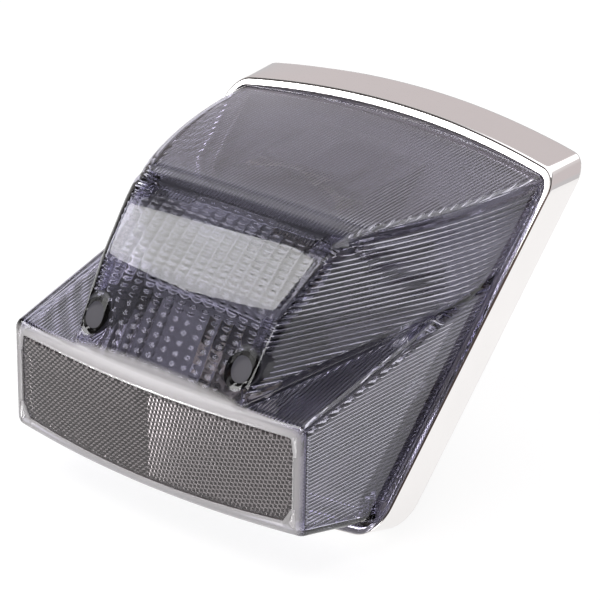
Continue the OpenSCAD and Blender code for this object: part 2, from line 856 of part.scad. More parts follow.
lens();
reflex_panel();
reflex_backing();
bright_rim();
lens_gasket();
base_tray();
body_gasket();
silvered_bowl();
bowl_screws();
screw_sleeves();
screw_plugs();
lens_screws();
lens_screw_washers();
threaded_inserts();
bulb_glass(stop_z, stop_mouth_y);  // stop_bulb_glass
bulb_cap(stop_z, stop_mouth_y);  // stop_bulb_cap
filament(stop_z, stop_mouth_y);  // stop_filament
bulb_glass(tail_z, tail_mouth_y);  // tail_bulb_glass
bulb_cap(tail_z, tail_mouth_y);  // tail_bulb_cap
filament(tail_z, tail_mouth_y);  // tail_filament
socket_shell(stop_z, stop_mouth_y);  // stop_socket
socket_shell(tail_z, tail_mouth_y);  // tail_socket
insulator(stop_z, stop_mouth_y);  // stop_insulator
insulator(tail_z, tail_mouth_y);  // tail_insulator
contact(stop_z, stop_mouth_y);  // stop_contact
contact(tail_z, tail_mouth_y);  // tail_contact
plunger_spring(stop_z, stop_mouth_y);  // stop_spring
plunger_spring(tail_z, tail_mouth_y);  // tail_spring
socket_rivets();
earth_strap();
terminal_blades();
blade_rivets();
cable_grommet();
mounting_studs();
stud_washers();
stud_nuts();
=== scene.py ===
# %% [markdown]
# # A motor scooter tail light
# The light is one smoked clear moulding over a dark tray, framed by a bright plated rim.
# Its walls are smooth outside and ribbed inside, so everything behind them is drawn out into fine lines.
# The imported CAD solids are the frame: small parts keep their solids and get materials, and the
# surfaces that make the look (lens, reflex panel, rim and the silvering) are worked out here.

# %% Frame, units and size
import math
import bmesh
import bpy
import numpy as np
from mathutils import Matrix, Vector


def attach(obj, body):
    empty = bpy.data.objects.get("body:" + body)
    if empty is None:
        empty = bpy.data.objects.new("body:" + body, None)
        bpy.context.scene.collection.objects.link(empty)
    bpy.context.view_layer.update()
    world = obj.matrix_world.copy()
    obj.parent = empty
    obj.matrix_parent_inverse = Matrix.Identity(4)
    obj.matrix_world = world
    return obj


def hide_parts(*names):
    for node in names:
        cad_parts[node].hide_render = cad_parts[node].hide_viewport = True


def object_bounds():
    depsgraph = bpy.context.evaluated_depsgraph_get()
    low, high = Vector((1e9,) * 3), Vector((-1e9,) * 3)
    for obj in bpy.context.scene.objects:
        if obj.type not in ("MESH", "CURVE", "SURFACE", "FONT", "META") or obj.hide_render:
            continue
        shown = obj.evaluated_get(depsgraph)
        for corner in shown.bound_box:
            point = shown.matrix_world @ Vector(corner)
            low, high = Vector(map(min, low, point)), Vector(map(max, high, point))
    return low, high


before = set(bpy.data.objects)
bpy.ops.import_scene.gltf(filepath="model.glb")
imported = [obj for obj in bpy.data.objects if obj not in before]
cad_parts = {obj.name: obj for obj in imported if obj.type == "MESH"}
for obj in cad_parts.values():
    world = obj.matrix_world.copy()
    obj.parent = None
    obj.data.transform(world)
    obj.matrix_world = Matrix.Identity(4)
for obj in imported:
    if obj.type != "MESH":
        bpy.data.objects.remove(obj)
cad_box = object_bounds()
MM = 0.001
print("CAD box in mm", np.round(np.array(cad_box) / MM, 1).tolist())

# %% [markdown]
# ## Camera
# The photograph was taken from the front, round towards +X and a little above, with a long lens. A camera needs
# three directions and a place. The directions follow from two angles and a small roll. The place follows from
# where one point of the lamp is seen: so far across, so far up and so far ahead of the lens. A 180 mm lens on a
# 36 mm sensor gives the photograph's flat perspective.

# %% Camera
AROUND, ABOVE, ROLL = (math.radians(a) for a in (37.69, 25.49, 1.08))
right = np.array([math.cos(AROUND), math.sin(AROUND), 0.0])
up = np.array([-math.sin(AROUND) * math.sin(ABOVE), math.cos(AROUND) * math.sin(ABOVE), math.cos(ABOVE)])
ahead = np.array([-math.sin(AROUND) * math.cos(ABOVE), math.cos(AROUND) * math.cos(ABOVE), -math.sin(ABOVE)])
right, up = math.cos(ROLL) * right + math.sin(ROLL) * up, math.cos(ROLL) * up - math.sin(ROLL) * right
AIM = np.array([0.0, -86.0, -4.0])  # a point just behind the box's front
AIM_ACROSS, AIM_UP, AIM_AHEAD = -43.01, -24.67, 874.72
camera_place = AIM - (AIM_ACROSS * right + AIM_UP * up + AIM_AHEAD * ahead)
camera_data = bpy.data.cameras.new("camera")
camera_data.lens = 180
camera_data.sensor_width = 36
camera_data.clip_end = 20
camera = bpy.data.objects.new("camera", camera_data)
turn = Matrix((right, up, -ahead)).transposed().to_4x4()
camera.matrix_world = Matrix.Translation(camera_place * MM) @ turn
bpy.context.scene.collection.objects.link(camera)
bpy.context.scene.camera = camera
print("camera in mm", camera_place.round(1).tolist())

# %% [markdown]
# ## From arrays to a mesh
# Every new surface is a grid: rows and columns of points. Four neighbours make a face. A grid can
# wrap round and close on itself, and where it runs out into a pole, the samples that fall together are merged.

# %% Mesh helpers
def grid_faces(rows, columns, wrap_rows=False, wrap_columns=False):
    """Quads between neighbours j, j+1 and i, i+1 of a grid counted row by row, closed on itself where wrapped."""
    j, i = np.mgrid[0:rows - (not wrap_rows), 0:columns - (not wrap_columns)]
    j2, i2 = (j + 1) % rows, (i + 1) % columns
    return np.stack([j * columns + i, j * columns + i2, j2 * columns + i2, j2 * columns + i], -1).reshape(-1, 4)


def add_piece(name, points, faces, material, smooth=True, replaces=None, weld=None):
    """A mesh object from points in millimetres; smooth is one flag or one per face.

    The faces turn outwards when the volume that they enclose, summed over fans from the origin, is positive.
    """
    points = np.asarray(points, float).reshape(-1, 3)
    faces = np.asarray(faces)
    first, volume = points[faces[:, 0]], 0.0
    for k in range(1, faces.shape[1] - 1):
        volume += (first * np.cross(points[faces[:, k]], points[faces[:, k + 1]])).sum()
    if volume < 0:
        faces = faces[:, ::-1]
    mesh = bpy.data.meshes.new(name)
    mesh.from_pydata((points * MM).tolist(), [], faces.tolist())
    flags = np.broadcast_to(np.asarray(smooth), len(mesh.polygons)).astype(bool)
    mesh.polygons.foreach_set("use_smooth", flags.copy())
    work = bmesh.new()
    work.from_mesh(mesh)
    if weld:
        bmesh.ops.remove_doubles(work, verts=work.verts, dist=weld * MM)
    open_edges = sum(not e.is_manifold for e in work.edges)
    work.to_mesh(mesh)
    work.free()
    mesh.materials.append(material)
    piece = bpy.data.objects.new(name, mesh)
    bpy.context.scene.collection.objects.link(piece)
    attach(piece, "root")
    if replaces:
        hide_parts(replaces)
    triangles = sum(len(p.vertices) - 2 for p in mesh.polygons)
    print(f"{name}: {triangles} triangles, {open_edges} open edges")
    return piece

# %% [markdown]
# ## Materials
# One recipe serves every finish: a Principled shader whose roughness and bump come from noise in the object's
# own millimetres. A picture of each surface would work too, but noise needs no file and no unwrapping, and it
# keeps its scale on every piece. What differs is colour, metal, clearness and the grain's size.

# %% Material helper
PATCHES, GRAINS = 600, 20  # a grain of 60 makes patches of about 10 mm and grains of about 0.3 mm


def finish(name, color, roughness, grain=60.0, spread=0.08, bump=0.02, metallic=0.0, clear=0.0, ior=1.49, shade=0.06):
    """Roughness = base + spread * noise; colour = colour * (1 - shade * noise); height = fine noise."""
    material = bpy.data.materials.new(name)
    material.use_nodes = True
    nodes, links = material.node_tree.nodes, material.node_tree.links
    shader = nodes["Principled BSDF"]
    shader.inputs["Metallic"].default_value = metallic
    shader.inputs["Transmission Weight"].default_value = clear
    shader.inputs["IOR"].default_value = ior
    place = nodes.new("ShaderNodeTexCoord")
    scale = nodes.new("ShaderNodeMapping")
    scale.inputs["Scale"].default_value = (1 / MM,) * 3
    links.new(place.outputs["Object"], scale.inputs["Vector"])
    coarse = nodes.new("ShaderNodeTexNoise")
    coarse.inputs["Scale"].default_value = grain / PATCHES
    coarse.inputs["Detail"].default_value = 3
    fine = nodes.new("ShaderNodeTexNoise")
    fine.inputs["Scale"].default_value = grain / GRAINS
    for noise in (coarse, fine):
        links.new(scale.outputs["Vector"], noise.inputs["Vector"])
    level = nodes.new("ShaderNodeMapRange")
    level.inputs["To Min"].default_value = max(roughness - spread / 2, 0)
    level.inputs["To Max"].default_value = roughness + spread / 2
    links.new(coarse.outputs["Fac"], level.inputs["Value"])
    links.new(level.outputs["Result"], shader.inputs["Roughness"])
    tone = nodes.new("ShaderNodeMix")
    tone.data_type = "RGBA"
    tone.inputs["A"].default_value = (*color, 1)
    tone.inputs["B"].default_value = (*[c * (1 - 2 * shade) for c in color], 1)
    links.new(coarse.outputs["Fac"], tone.inputs["Factor"])
    links.new(tone.outputs["Result"], shader.inputs["Base Color"])
    relief = nodes.new("ShaderNodeBump")
    relief.inputs["Strength"].default_value = 0.4
    relief.inputs["Distance"].default_value = bump * MM
    links.new(fine.outputs["Fac"], relief.inputs["Height"])
    links.new(relief.outputs["Normal"], shader.inputs["Normal"])
    return material


def lets_light_in(material, tint):
    """Shadow rays pass with a tint instead of stopping at the clear wall, so lamps reach what is inside."""
    nodes, links = material.node_tree.nodes, material.node_tree.links
    path = nodes.new("ShaderNodeLightPath")
    through = nodes.new("ShaderNodeBsdfTransparent")
    through.inputs["Color"].default_value = (*tint, 1)
    choose = nodes.new("ShaderNodeMixShader")
    links.new(path.outputs["Is Shadow Ray"], choose.inputs["Fac"])
    links.new(nodes["Principled BSDF"].outputs["BSDF"], choose.inputs[1])
    links.new(through.outputs["BSDF"], choose.inputs[2])
    links.new(choose.outputs["Shader"], nodes["Material Output"].inputs["Surface"])
    return material

# %% The finishes
smoked_clear = lets_light_in(
    finish("smoked_clear", (0.67, 0.655, 0.765), 0.03, spread=0.03, bump=0.004, clear=1), (0.70, 0.70, 0.74))
panel_clear = lets_light_in(
    finish("panel_clear", (0.235, 0.212, 0.218), 0.05, spread=0.04, bump=0.003, clear=1), (0.8, 0.8, 0.8))
bulb_clear = lets_light_in(
    finish("bulb_clear", (0.96, 0.97, 0.98), 0.01, spread=0.01, bump=0.002, clear=1, ior=1.2), (0.95, 0.95, 0.95))
bright_plating = finish("bright_plating", (0.88, 0.86, 0.85), 0.06, spread=0.04, bump=0.001, metallic=1, shade=0.02)
silvering = finish("silvering", (0.44, 0.44, 0.455), 0.42, spread=0.08, bump=0.004, metallic=1, shade=0.03)
tray_grey = finish("tray_grey", (0.092, 0.088, 0.098), 0.45, spread=0.15, bump=0.03)
bowl_outside = finish("bowl_outside", (0.035, 0.035, 0.04), 0.4, spread=0.1, bump=0.02)
sleeve_black = finish("sleeve_black", (0.010, 0.010, 0.012), 0.35, spread=0.1, bump=0.02)
plug_grey = finish("plug_grey", (0.115, 0.112, 0.128), 0.34, spread=0.1, bump=0.01)
grey_seal = finish("grey_seal", (0.30, 0.28, 0.27), 0.6, spread=0.15, bump=0.03)
seal_rubber = finish("seal_rubber", (0.028, 0.027, 0.027), 0.75, spread=0.2, bump=0.06)
plate_grey = finish("plate_grey", (0.5, 0.48, 0.475), 0.4, spread=0.1, bump=0.01)
zinc = finish("zinc", (0.66, 0.66, 0.65), 0.28, spread=0.18, bump=0.006, metallic=1)
brass = finish("brass", (0.50, 0.45, 0.37), 0.3, spread=0.2, bump=0.006, metallic=1, shade=0.1)
tinned = finish("tinned", (0.68, 0.66, 0.56), 0.32, spread=0.2, bump=0.006, metallic=1, shade=0.08)
drawn_wire = finish("drawn_wire", (0.42, 0.42, 0.44), 0.3, metallic=1)
hard_paper = finish("hard_paper", (0.07, 0.048, 0.034), 0.55, grain=160, spread=0.2, bump=0.02, shade=0.2)

# %% [markdown]
# The lens is one moulding, yet not the same all over. Its front frame is painted pale and partly matt, which is
# painted light:
# it stands in for the light that the border carries and shows. The insides of its screw wells are blackened so that
# no screw shines through. Separate materials on some faces would change at a jagged line of mesh edges. So both
# zones follow from the place on the lens instead: how far forward, and how near to a well's axis.

# %% Painted light on the frame, and black wells
SCREW_X, SCREW_Z = 27.9, 7.6
# Painted light on the front frame: a pale colour and a matt share that stand in for the light the border carries
FRAME_FROM, FRAME_RISE, FRAME_PAINTED_LIGHT_SHARE = 84.6, 0.8, 0.5  # starts here, gains 0.8 per mm forwards, ends half matt
FRAME_PAINTED_LIGHT, FRAME_PAINTED_LIGHT_MATT, WELL_BLACK = (0.86, 0.84, 0.85), (0.72, 0.70, 0.71), (0.008, 0.008, 0.009)


def zoned(material, frame_from, well_x, well_z, well_radius):
    """Colour by place in millimetres: pale painted light forward of frame_from, black nearer to a well's axis than its
    radius.

    The share of painted light is (forwards - frame_from) * rise, held between 0 and 1.
    """
    nodes, links = material.node_tree.nodes, material.node_tree.links
    shader = nodes["Principled BSDF"]

    def math_node(operation, *values, clamp=False):
        """One sum of the Math node; each value is a number or another node's output."""
        node = nodes.new("ShaderNodeMath")
        node.operation, node.use_clamp = operation, clamp
        for k, value in enumerate(values):
            if hasattr(value, "links"):
                links.new(value, node.inputs[k])
            else:
                node.inputs[k].default_value = value
        return node.outputs["Value"]

    def mixed(factor, a, color):
        """The colour a, turned into a fixed colour by a factor from 0 to 1."""
        node = nodes.new("ShaderNodeMix")
        node.data_type = "RGBA"
        links.new(factor, node.inputs["Factor"])
        links.new(a, node.inputs["A"])
        node.inputs["B"].default_value = (*color, 1)
        return node.outputs["Result"]

    axes = nodes.new("ShaderNodeSeparateXYZ")
    scale = next(node for node in nodes if node.type == "MAPPING")
    links.new(scale.outputs["Vector"], axes.inputs["Vector"])
    x, y, z = (axes.outputs[name] for name in "XYZ")
    # Share of pale painted light on the front frame
    pale = math_node("MULTIPLY", math_node("SUBTRACT", -frame_from, y), FRAME_RISE, clamp=True)
    across = math_node("SUBTRACT", math_node("ABSOLUTE", x), well_x)
    upward = math_node("SUBTRACT", z, well_z)
    squares = math_node("ADD", math_node("MULTIPLY", across, across), math_node("MULTIPLY", upward, upward))
    well = math_node("LESS_THAN", squares, well_radius ** 2)
    before = shader.inputs["Base Color"].links[0].from_socket
    links.new(mixed(well, mixed(pale, before, FRAME_PAINTED_LIGHT), WELL_BLACK), shader.inputs["Base Color"])
    # Painted light: a pale matt diffuse mixed in on the front frame
    matt = nodes.new("ShaderNodeBsdfDiffuse")
    matt.inputs["Color"].default_value = (*FRAME_PAINTED_LIGHT_MATT, 1)
    blend = nodes.new("ShaderNodeMixShader")
    links.new(math_node("MULTIPLY", pale, FRAME_PAINTED_LIGHT_SHARE), blend.inputs["Fac"])
    links.new(shader.outputs["BSDF"], blend.inputs[1])
    links.new(matt.outputs["BSDF"], blend.inputs[2])
    choose = next(node for node in nodes if node.type == "MIX_SHADER" and node != blend)
    links.new(blend.outputs["Shader"], choose.inputs[1])


zoned(smoked_clear, FRAME_FROM, SCREW_X, SCREW_Z, 4.8)

# %% [markdown]
# ## Small parts keep their CAD solids
# Bulbs, sockets, screws, rivets and gaskets already have their real shape. They only need their finish,
# which goes into the material slot of each CAD object.

# %% Finishes on the CAD solids
NODE_FINISH = {
    "reflex_backing": plate_grey, "lens_gasket": grey_seal, "body_gasket": seal_rubber,
    "cable_grommet": seal_rubber, "base_tray": tray_grey, "silvered_bowl": bowl_outside,
    "screw_sleeves": sleeve_black, "screw_plugs": plug_grey, "bowl_screws": zinc, "lens_screws": zinc,
    "lens_screw_washers": zinc, "threaded_inserts": brass, "stop_bulb_glass": bulb_clear,
    "tail_bulb_glass": bulb_clear, "stop_bulb_cap": brass, "tail_bulb_cap": brass,
    "stop_filament": drawn_wire, "tail_filament": drawn_wire, "stop_socket": tinned, "tail_socket": tinned,
    "stop_insulator": hard_paper, "tail_insulator": hard_paper, "stop_contact": brass, "tail_contact": brass,
    "stop_spring": zinc, "tail_spring": zinc, "socket_rivets": zinc, "earth_strap": brass,
    "terminal_blades": tinned, "blade_rivets": zinc, "mounting_studs": zinc, "stud_washers": zinc,
    "stud_nuts": zinc,
}
for node, material in NODE_FINISH.items():
    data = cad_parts[node].data
    if len(data.materials):
        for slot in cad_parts[node].material_slots:
            slot.material = material
    else:
        data.materials.append(material)
print("finishes on", len(NODE_FINISH), "CAD nodes")

# %% [markdown]
# ## The lens's outer shape as one formula
# Each face of the moulding is a function that is zero on the face, negative inside and positive outside, in
# millimetres. The largest of them describes the block that they bound. If the largest is replaced by the root
# of the summed squares, the edges come out rounded. The lens is two such blocks, the window block and the
# reflex box, and the smaller of the two values joins them. A block-out with Bevel modifiers could come close, but
# here the rounding also holds where three curved faces meet.

# %% Rounded meetings of faces
def round_max(faces, r):
    """Root of the summed squares of (face + r), less r: a corner of radius r where faces meet."""
    faces = np.stack(np.broadcast_arrays(*faces))
    over = np.maximum(faces + r, 0)
    return np.sqrt((over ** 2).sum(0)) - r + np.minimum(0, faces.max(0) + r)


def round_min(a, b, r):
    """The same for a joint of two blocks: minus the rounded largest of the negatives."""
    return -round_max([-a, -b], r)

# %% Faces of the window block
FOOT_X, FOOT_S = 59.7, 10.5  # half width of the foot, and its height above the sloping seat
WINDOW_LOW, WINDOW_HIGH = (79.7, 7.6, 0.6745), (70.2, 22.2, 1.17)  # forwards, height, slope
ROOF_FRONT, ROOF_LENGTH, ROOF_HALF, ROOF_EDGE = -45.6, 76.5, 39.9, 41.2


def window_y(z):
    """How far forward the window lies: two leaning planes with a soft bend."""
    low, high = (y0 - slope * (z - z0) for y0, z0, slope in (WINDOW_LOW, WINDOW_HIGH))
    return round_min(low, high, 1.0)


def window_bulge(x):
    """Forward bulge of the window, a parabola across."""
    return 1.6 * (1 - (x / 36) ** 2)


def window_z(y):
    """Height of the window above a point of the draw: the lower of the two leaning planes."""
    return np.minimum(*(z0 + (y0 + y) / slope for y0, z0, slope in (WINDOW_LOW, WINDOW_HIGH)))


def ridge_x(y):
    """Half width of the roof: a line from the window to the foot with an outward bow."""
    k = np.clip((y - ROOF_FRONT) / ROOF_LENGTH, 0, 1)
    return ROOF_HALF + k * (FOOT_X - ROOF_HALF) + 17.6 * k * (1 - k)


def roof_z(x, y):
    """Roof height: level along both edges, rising in a parabola to the middle line."""
    middle = 41.7 + 3.3 * np.clip((y - ROOF_FRONT) / ROOF_LENGTH, -0.3, 1.1)
    return ROOF_EDGE + (middle - ROOF_EDGE) * (1 - (x / ridge_x(y)) ** 2)


def wall_x(y, z):
    """Side wall: a flat front facet, and behind it straight lines from the roof's edge down to the notch."""
    rise = np.maximum((z - 13) / 26.0, 0.02)
    back = np.clip(-15 + (y + 15) / rise, ROOF_FRONT, 31)
    rear = 59.2 + (ridge_x(back) - 59.2) * np.clip(rise, 0, 1.1)
    front = 33.0 + 0.4218 * (y + 83.5) - 0.2073 * z
    return round_min(front, rear, 1.2)

# %% Faces of the reflex box, and the whole skin
BOX_HALF, BOX_FRONT, BOX_BOW, BOX_ROUND = 52.2, -86, 3.8, 2.6


def shelf_z(y):
    """The sloping shelf beside the window block."""
    return 0.21 * (y + 82)


def side_x(y, z):
    """Side of the box, straight lines from its front edge to the foot."""
    k = np.clip((y + 82) / np.maximum(z - FOOT_S + 82, 10), -0.2, 1.1)
    return 56.2 + k * (FOOT_X - 56.2)


def bottom_z(x, y):
    """Underside, from the arched front edge to the arched foot."""
    k = np.clip((y + 84) / 29, -0.2, 1.2)
    return -36.2 - 1.8 * (1 - (x / BOX_HALF) ** 2) * (1 - k) + k * (-8.8 + x * x / 1274)


def front_y(x):
    """Front of the box, a parabola that stands out in the middle."""
    return BOX_FRONT - BOX_BOW * (1 - (x / BOX_HALF) ** 2)


def skin(x, y, z):
    """Zero on the lens's outer face, minus the depth inside it.

    A leaning face grows faster than its distance, so it is multiplied by the cosine of its lean.
    """
    ax = np.abs(x)
    lean = np.interp(z, [20, 26], [0.829, 0.66])
    over_and_front = round_max([z - roof_z(x, y), (-y - window_y(z) - window_bulge(x)) * lean], 9.0)
    window_block = round_max([over_and_front, (ax - wall_x(y, z)) * 0.94, shelf_z(y) - 3 - z], 3.0)
    box = round_max([(z - shelf_z(y)) * 0.979, front_y(x) - y, ax - side_x(y, z),
                     (bottom_z(x, y) - z) * 0.96], BOX_ROUND)
    return round_min(window_block, box, 0.4)

# %% [markdown]
# ## Carrying ribs over the lens
# The ribs inside the real moulding run along its draw: at a constant place across on roof and shelf, at a
# constant height on the side walls. So the lens is cut into slices across the draw, and each slice is sampled
# at the same places: up the side, in over the shelf, up the wall and in over the roof. A sample that would
# lie past an edge stays on the edge, which makes a rib run out there just as it does in the mould. Displacement
# from a striped texture would need far more faces for ribs as straight as these.

# %% Samples of one slice, from the middle of the bottom to the middle of the top
RIB, SIDE_RIB, WALL_RIB, PART = 1.2, 1.15, 1.45, 3  # rib widths in mm; one sample in the groove, two on the rib
BOTTOM, LOW_CORNER, SIDE, SHELF_EDGE, SHELF, VALLEY, WALL, RIDGE, TOP = range(9)
turns = (np.arange(5) + 0.5) * math.pi / 10
across = np.arange(59.4, 0, -RIB / PART)
SEGMENTS = [
    (BOTTOM, np.linspace(0, 1, 14)), (LOW_CORNER, turns), (SIDE, np.arange(-43.0, 19, SIDE_RIB / PART)),
    (SHELF_EDGE, turns), (SHELF, across[across > 32]), (VALLEY, np.zeros(1)),
    (WALL, np.arange(0.5, 40.5, WALL_RIB / PART)), (RIDGE, turns), (TOP, np.append(across, 0)),
]
kind = np.concatenate([np.full(len(values), k) for k, values in SEGMENTS])
place_on = np.concatenate([values for _, values in SEGMENTS])
order = np.concatenate([np.arange(len(values)) for _, values in SEGMENTS])
FADE = 1.2  # ribs and pillows sink to nothing over this distance from an edge
print("samples in half a slice:", len(kind))


def slice_points(y):
    """Nominal x, z and outward direction of every sample, at its own y (rows are slices, columns are samples).

    The last value is the distance to the nearest edge over the fading distance, held between 0 and 1.
    """
    a = np.broadcast_to(place_on, y.shape)
    x, z, dx, dz = (np.zeros(y.shape) for _ in range(4))
    shelf = shelf_z(y)
    side = side_x(y, shelf)
    valley = np.minimum(wall_x(y, shelf), side)
    low = bottom_z(side_x(y, -40.0), y)
    side_low = side_x(y, low)
    top = np.maximum(np.minimum(roof_z(ridge_x(y), y), window_z(y)), shelf)
    ridge = wall_x(y, top)
    free = np.clip((side - valley) / 8, 0, 1)
    tall = np.clip((top - shelf) / 6, 0, 1)
    edge_r, ridge_r = BOX_ROUND * free, 3.0 * tall

    def put(which, new_x, new_z, new_dx, new_dz):
        """Place and direction of one kind of sample."""
        for target, value in ((x, new_x), (z, new_z), (dx, new_dx), (dz, new_dz)):
            target[:, which] = np.broadcast_to(value, y.shape)[:, which]

    c, s = np.cos(a), np.sin(a)
    bx = a * (side_low - BOX_ROUND)
    put(kind == BOTTOM, bx, bottom_z(bx, y), 0, -1)
    put(kind == LOW_CORNER, side_low - BOX_ROUND + BOX_ROUND * s, low + BOX_ROUND - BOX_ROUND * c, s, -c)
    sz = np.clip(a, low + BOX_ROUND, shelf - edge_r)
    put(kind == SIDE, side_x(y, sz), sz, 1, 0)
    put(kind == SHELF_EDGE, side - edge_r + edge_r * c, shelf - edge_r + edge_r * s, free * c + 1 - free, free * s)
    put(kind == SHELF, np.clip(a, valley + 0.5 * free, side - edge_r), shelf, 1 - free, free)
    upwards = 0.5 * free * tall + (1 - tall) * free
    put(kind == VALLEY, valley, shelf, 1 - 0.5 * free * tall - (1 - tall) * free, upwards)
    wz = np.clip(a, shelf + 0.5 * tall, np.maximum(top - ridge_r, shelf))
    put(kind == WALL, wall_x(y, wz), wz, tall, 1 - tall)
    put(kind == RIDGE, ridge - ridge_r + ridge_r * c, top - ridge_r + ridge_r * s, tall * c, tall * s + 1 - tall)
    tx = np.minimum(a, ridge - ridge_r)
    tz = np.maximum(np.minimum(roof_z(tx, y), window_z(y + window_bulge(tx))), shelf)
    put(kind == TOP, tx, tz, 0, 1)
    length = np.maximum(np.hypot(dx, dz), 1e-6)
    room = np.zeros(y.shape)
    room[:, kind == SIDE] = np.minimum(shelf - edge_r - a, a - low - BOX_ROUND)[:, kind == SIDE]
    room[:, kind == SHELF] = np.minimum(a - valley, side - edge_r - a)[:, kind == SHELF]
    room[:, kind == WALL] = np.minimum(top - ridge_r - a, a - shelf)[:, kind == WALL]
    room[:, kind == TOP] = (ridge - ridge_r - a)[:, kind == TOP]
    return x, z, dx / length, dz / length, np.clip(room / FADE, 0, 1)


def front_bow(x, y):
    """The front of the box stands out in the middle: slices bow the same way up to y = -82, straight from -74 on."""
    return y - BOX_BOW * (1 - (x / BOX_HALF) ** 2) * np.clip((-74 - y) / 8, 0, 1)


# %% Ribs and pillows on the slices
RIB_DEEP, ROOF_RIB = 0.45, 1.25  # the roof's ribs are a quarter deeper
PILLOW, PILLOW_WIDE, PILLOW_RISE = 0.34, 11 * RIB / PART, np.array([0, 1, 0.6])  # three slices make a row
REAR = 34.0  # no slice goes further back


def lens_slices(y_goal, margin, depth, rib=0.0, pillow_row=None, gap=0.0):
    """Half slices of the lens at depth + rib below its outer face, none nearer than margin to the foot.

    Each sample moves along its direction until skin equals minus its depth, found by halving the interval.
    """
    y_goal, margin, depth, rib, gap = (np.asarray(v, float)[:, None] for v in (y_goal, margin, depth, rib, gap))
    y = y_goal + np.zeros((1, len(kind)))
    for _ in range(10):  # the height depends on y, and at the foot y on the height: ten rounds settle both
        x, z, *_ = slice_points(y)
        y = np.minimum(front_bow(np.minimum(x, BOX_HALF), y_goal), z - FOOT_S - margin)
        y = np.minimum(y, REAR)
    x, z, dx, dz, room = slice_points(y)
    tooth = np.where(order % PART == 0, 0.0, 1.0) * np.isin(kind, (SIDE, SHELF, WALL, TOP))
    tooth = tooth * np.where(kind == TOP, ROOF_RIB, 1.0)
    height = tooth * room
    if pillow_row is not None:
        row = np.asarray(pillow_row, float)[:, None]
        u = (x / PILLOW_WIDE + 0.5) % 1
        pillow = PILLOW / RIB_DEEP * PILLOW_RISE[np.asarray(row % 3, int)] * (1 - (2 * u - 1) ** 2)
        on_window = (kind == TOP) & (row >= 0) & (z > shelf_z(y) + 0.6) & (z < 42.0 - 3.0 * (x / 38) ** 2)
        # Nothing up to 6 mm from a well's axis, and full height from 7.2 mm on
        clear_of_wells = np.clip(np.hypot(x - SCREW_X, (z - SCREW_Z) / 0.9) / 1.2 - 5, 0, 1)
        height = np.where(on_window, pillow * room * clear_of_wells, height)
    depth = depth + rib * height
    low, high = np.full(y.shape, -9.0), np.full(y.shape, 6.0)
    for _ in range(34):
        middle = (low + high) / 2
        outside = skin(x + middle * dx, y, z + middle * dz) > -depth
        low, high = np.where(outside, low, middle), np.where(outside, middle, high)
    move = (low + high) / 2 + gap
    return np.stack([x + move * dx, y, z + move * dz], -1)


def both_halves(half):
    """The right half and its mirror image as one closed ring of samples."""
    mirror = half[:, -2:0:-1] * np.array([-1.0, 1, 1])
    return np.concatenate([half, mirror], 1)

# %% [markdown]
# ## The lens
# The slices go forwards over the outside, round the border, back through the opening for the reflex panel
# and along the inside to the foot. There a small flange closes the ring, so the wall is one closed skin.
# A Solidify modifier would copy the smooth outside inwards, but a real lens is smooth outside only. Inside it
# carries ribs 0.45 mm deep, and on the window rows of small pillows that spread the light.

# %% Slices of the lens
LENS_WALL, FOOT_HIGH, BAND = 2.2, 2.6, 3.2
front_part = [BOX_FRONT + d for d in (0, 0.15, 0.45, 0.9, 1.5, 2.1, 2.7, 3.4, 4.2)]  # close together on the rounding
outer_y = [60, 60, 60, 30, 24, 16, 8, 0, -7, -11, -15, -19, -24, -30, -36, -41, -43.5, -45, -46.2, -47.4, -48.6,
           -50, -53, -57, -61, -65, -68, -70, -72, -75, -78, -80] + front_part[::-1]
outer_margin = [0, FOOT_HIGH, FOOT_HIGH] + [BAND] * (len(outer_y) - 3)
outer_gap = [0.4, 0.4] + [0] * (len(outer_y) - 2)
outside = lens_slices(outer_y, outer_margin, np.zeros(len(outer_y)), np.zeros(len(outer_y)), gap=outer_gap)

SLOPE, SLOPE_BEND, SLOPE_STEP = 56.5, 26, 0.72  # lengths along the window, from the shelf upwards
slope_length = np.arange(0, SLOPE, SLOPE_STEP)
row_z = np.interp(slope_length, [0, SLOPE_BEND, SLOPE], [0.6, WINDOW_HIGH[1], 42.5])
row_y = -window_y(row_z)
window_rows = [y for y in row_y if y < -46.5]
roof_rows = [-45.2, -43.5, -42, -40, -36, -31, -26, -21, -17, -13, -9, -5, 0, 5, 10, 15, 20, 25, 30]
inner_y = [-82.6, -82.0] + window_rows[4:] + roof_rows + [60, 60, 60]
on_window = [-1, -1] + list(range(4, len(window_rows))) + [-1] * (len(roof_rows) + 3)
inner_margin = [BAND] * (len(inner_y) - 3) + [FOOT_HIGH, FOOT_HIGH, 0]
inner_rib = [0.0] + [RIB_DEEP] * (len(inner_y) - 4) + [0.0] * 3
inner_gap = [0] * (len(inner_y) - 2) + [-1.2, -1.2]
inside = lens_slices(inner_y, inner_margin, np.full(len(inner_y), LENS_WALL), inner_rib, on_window, inner_gap)
print("slices outside", len(outer_y), "inside", len(inner_y))

# %% The opening for the reflex panel
PANEL_HALF, PANEL_TOP, PANEL_LOW, PANEL_DROP = 52.1, -4.1, -31.3, 2.2


def panel_outline(points, grow, depth, r=2.0):
    """Each point moved to the nearest place on a round-cornered opening with an arched lower edge."""
    x, z = points[:, 0], points[:, 2]
    low = PANEL_LOW - PANEL_DROP * (1 - (np.clip(x, -PANEL_HALF, PANEL_HALF) / PANEL_HALF) ** 2)
    core_x = np.clip(x, r - PANEL_HALF, PANEL_HALF - r)
    core_z = np.clip(z, low + r, PANEL_TOP - r)
    away = np.hypot(x - core_x, z - core_z)
    new_x = core_x + (x - core_x) / away * (r + grow)
    new_z = core_z + (z - core_z) / away * (r + grow)
    return np.stack([new_x, front_y(new_x) + depth, new_z], -1)


